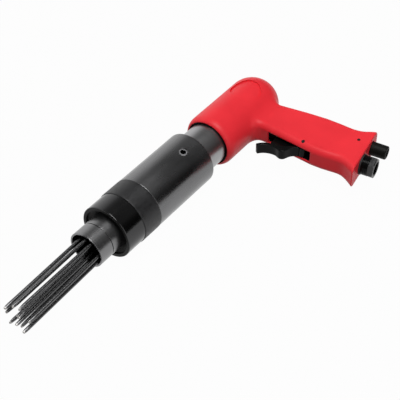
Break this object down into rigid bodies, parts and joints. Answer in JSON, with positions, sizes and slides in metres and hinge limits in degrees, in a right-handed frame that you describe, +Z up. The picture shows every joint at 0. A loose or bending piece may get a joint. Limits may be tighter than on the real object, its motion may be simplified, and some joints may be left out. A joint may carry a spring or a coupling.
{
  "type": "pneumatic needle scaler",
  "caption": "Pistol-grip air needle scaler: bundle of sliding steel needles in a nose tube, black sleeve, red handle with lever trigger, threaded air inlet and exhaust.",
  "frame": {"origin": "middle of the foot of the tool's box, the tool lying on its side", "axes": "+X along the barrel to the needle tips, +Y down the grip to the air inlet, +Z up, out of the side with the round recess; the barrel's axis is 25.2 mm above the floor"},
  "size_m": [0.3452, 0.1652, 0.0504],
  "materials": {
    "housing_red": "red gloss paint on cast aluminium",
    "black_steel": "black oxide steel",
    "grey_steel": "ground steel",
    "tube_steel": "dark turned steel",
    "needle_steel": "dark drawn steel",
    "spring_steel": "plain steel",
    "trigger_black": "black coated steel",
    "exhaust_black": "black anodised aluminium",
    "seal_rubber": "black rubber",
    "bush_brass": "turned brass"
  },
  "bodies": {
    "tool_body": {"handle_housing": "housing_red", "trigger_pin": "spring_steel", "throttle_bush": "bush_brass", "inlet_bushing": "trigger_black", "inlet_washer": "seal_rubber", "inlet_screen": "bush_brass", "exhaust_deflector": "exhaust_black", "exhaust_pin": "spring_steel", "barrel": "grey_steel", "barrel_seal": "seal_rubber", "valve_seat": "grey_steel", "valve_case": "grey_steel", "valve_dowels": "spring_steel", "rear_cushion": "seal_rubber", "anvil_bush": "bush_brass", "sleeve": "black_steel", "set_screws": "spring_steel", "lock_ring": "black_steel", "front_cap": "black_steel", "nose_tube": "tube_steel"},
    "trigger": {"trigger": "trigger_black"},
    "throttle": {"throttle_stem": "spring_steel", "throttle_seal": "seal_rubber", "throttle_spring": "spring_steel"},
    "valve_flap": {"valve_flap": "grey_steel"},
    "piston": {"piston": "grey_steel"},
    "anvil": {"anvil": "grey_steel"},
    "needle_holder": {"needle_holder": "grey_steel", "return_spring": "spring_steel"},
    "needle_01": {"needle_01": "needle_steel"},
    "needle_02": {"needle_02": "needle_steel"},
    "needle_03": {"needle_03": "needle_steel"},
    "needle_04": {"needle_04": "needle_steel"},
    "needle_05": {"needle_05": "needle_steel"},
    "needle_06": {"needle_06": "needle_steel"},
    "needle_07": {"needle_07": "needle_steel"},
    "needle_08": {"needle_08": "needle_steel"},
    "needle_09": {"needle_09": "needle_steel"},
    "needle_10": {"needle_10": "needle_steel"},
    "needle_11": {"needle_11": "needle_steel"},
    "needle_12": {"needle_12": "needle_steel"}
  },
  "joints": [
    {"name": "trigger_swing", "type": "hinge", "parent": "tool_body", "child": "trigger", "pos_m": [-0.11923, 0.01659, 0.0252], "axis": [0, 0, -1], "range_deg": [0, 10], "stiffness_Nm_per_rad": 1.5, "springref_deg": -11.46},
    {"name": "throttle_slide", "type": "slide", "parent": "tool_body", "child": "throttle", "axis": [-0.989, -0.1478, 0], "range_m": [0, 0.0048]},
    {"name": "flap_slide", "type": "slide", "parent": "tool_body", "child": "valve_flap", "axis": [1, 0, 0], "range_m": [-0.0014, 0]},
    {"name": "piston_slide", "type": "slide", "parent": "tool_body", "child": "piston", "axis": [1, 0, 0], "range_m": [0, 0.0289]},
    {"name": "anvil_slide", "type": "slide", "parent": "tool_body", "child": "anvil", "axis": [1, 0, 0], "range_m": [0, 0.003]},
    {"name": "holder_slide", "type": "slide", "parent": "tool_body", "child": "needle_holder", "axis": [1, 0, 0], "range_m": [0, 0.006], "stiffness_N_per_m": 2000, "springref_m": -0.004},
    {"name": "needle_01_slide", "type": "slide", "parent": "needle_holder", "child": "needle_01", "axis": [1, 0, 0], "range_m": [-0.012, 0.004]},
    {"name": "needle_02_slide", "type": "slide", "parent": "needle_holder", "child": "needle_02", "axis": [1, 0, 0], "range_m": [-0.01, 0.006]},
    {"name": "needle_03_slide", "type": "slide", "parent": "needle_holder", "child": "needle_03", "axis": [1, 0, 0], "range_m": [-0.016, 0]},
    {"name": "needle_04_slide", "type": "slide", "parent": "needle_holder", "child": "needle_04", "axis": [1, 0, 0], "range_m": [-0.0105, 0.0055]},
    {"name": "needle_05_slide", "type": "slide", "parent": "needle_holder", "child": "needle_05", "axis": [1, 0, 0], "range_m": [-0.0115, 0.0045]},
    {"name": "needle_06_slide", "type": "slide", "parent": "needle_holder", "child": "needle_06", "axis": [1, 0, 0], "range_m": [-0.013, 0.003]},
    {"name": "needle_07_slide", "type": "slide", "parent": "needle_holder", "child": "needle_07", "axis": [1, 0, 0], "range_m": [-0.0155, 0.0005]},
    {"name": "needle_08_slide", "type": "slide", "parent": "needle_holder", "child": "needle_08", "axis": [1, 0, 0], "range_m": [-0.012, 0.004]},
    {"name": "needle_09_slide", "type": "slide", "parent": "needle_holder", "child": "needle_09", "axis": [1, 0, 0], "range_m": [-0.011, 0.005]},
    {"name": "needle_10_slide", "type": "slide", "parent": "needle_holder", "child": "needle_10", "axis": [1, 0, 0], "range_m": [-0.014, 0.002]},
    {"name": "needle_11_slide", "type": "slide", "parent": "needle_holder", "child": "needle_11", "axis": [1, 0, 0], "range_m": [-0.011, 0.005]},
    {"name": "needle_12_slide", "type": "slide", "parent": "needle_holder", "child": "needle_12", "axis": [1, 0, 0], "range_m": [-0.016, 0]}
  ],
  "couplings": [
    {"joint": "throttle_slide", "follows": "trigger_swing", "m_per_rad": 0.0275}
  ]
}
